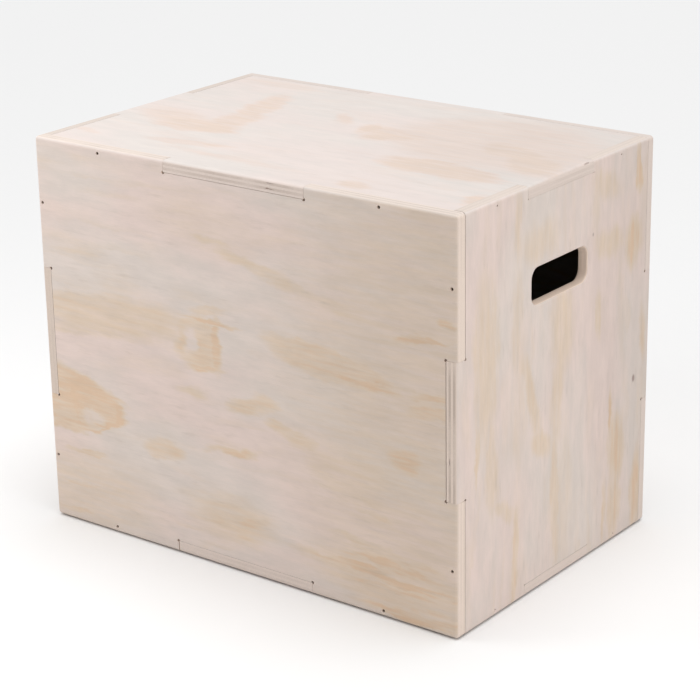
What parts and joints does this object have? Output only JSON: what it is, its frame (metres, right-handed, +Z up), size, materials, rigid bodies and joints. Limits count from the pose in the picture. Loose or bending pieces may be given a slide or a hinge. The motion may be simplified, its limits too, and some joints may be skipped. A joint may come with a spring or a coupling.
{
  "type": "plywood jump box",
  "caption": "Hollow plywood training box with interlocking tabbed corners, sunk screws, rounded edges and a hand slot in each end.",
  "frame": {"origin": "middle of the base, at floor level", "axes": "+X along the 762 mm side towards the right end, +Y from front to back along the 508 mm side, +Z up along the 610 mm side"},
  "size_m": [0.762, 0.508, 0.61],
  "materials": {
    "plywood": "sanded bare pine-faced plywood, matt",
    "screw_steel": "dark phosphated steel, satin"
  },
  "bodies": {
    "root": {"front_panel": "plywood", "back_panel": "plywood", "left_end_panel": "plywood", "right_end_panel": "plywood", "top_panel": "plywood", "bottom_panel": "plywood", "front_lower_edge_left_screw": "screw_steel", "front_lower_edge_right_screw": "screw_steel", "front_upper_edge_left_screw": "screw_steel", "front_upper_edge_right_screw": "screw_steel", "front_left_edge_lower_screw": "screw_steel", "front_left_edge_upper_screw": "screw_steel", "front_right_edge_lower_screw": "screw_steel", "front_right_edge_upper_screw": "screw_steel", "back_lower_edge_left_screw": "screw_steel", "back_lower_edge_right_screw": "screw_steel", "back_upper_edge_left_screw": "screw_steel", "back_upper_edge_right_screw": "screw_steel", "back_left_edge_lower_screw": "screw_steel", "back_left_edge_upper_screw": "screw_steel", "back_right_edge_lower_screw": "screw_steel", "back_right_edge_upper_screw": "screw_steel", "left_lower_edge_front_screw": "screw_steel", "left_lower_edge_rear_screw": "screw_steel", "left_upper_edge_front_screw": "screw_steel", "left_upper_edge_rear_screw": "screw_steel", "right_lower_edge_front_screw": "screw_steel", "right_lower_edge_rear_screw": "screw_steel", "right_upper_edge_front_screw": "screw_steel", "right_upper_edge_rear_screw": "screw_steel"}
  },
  "joints": []
}
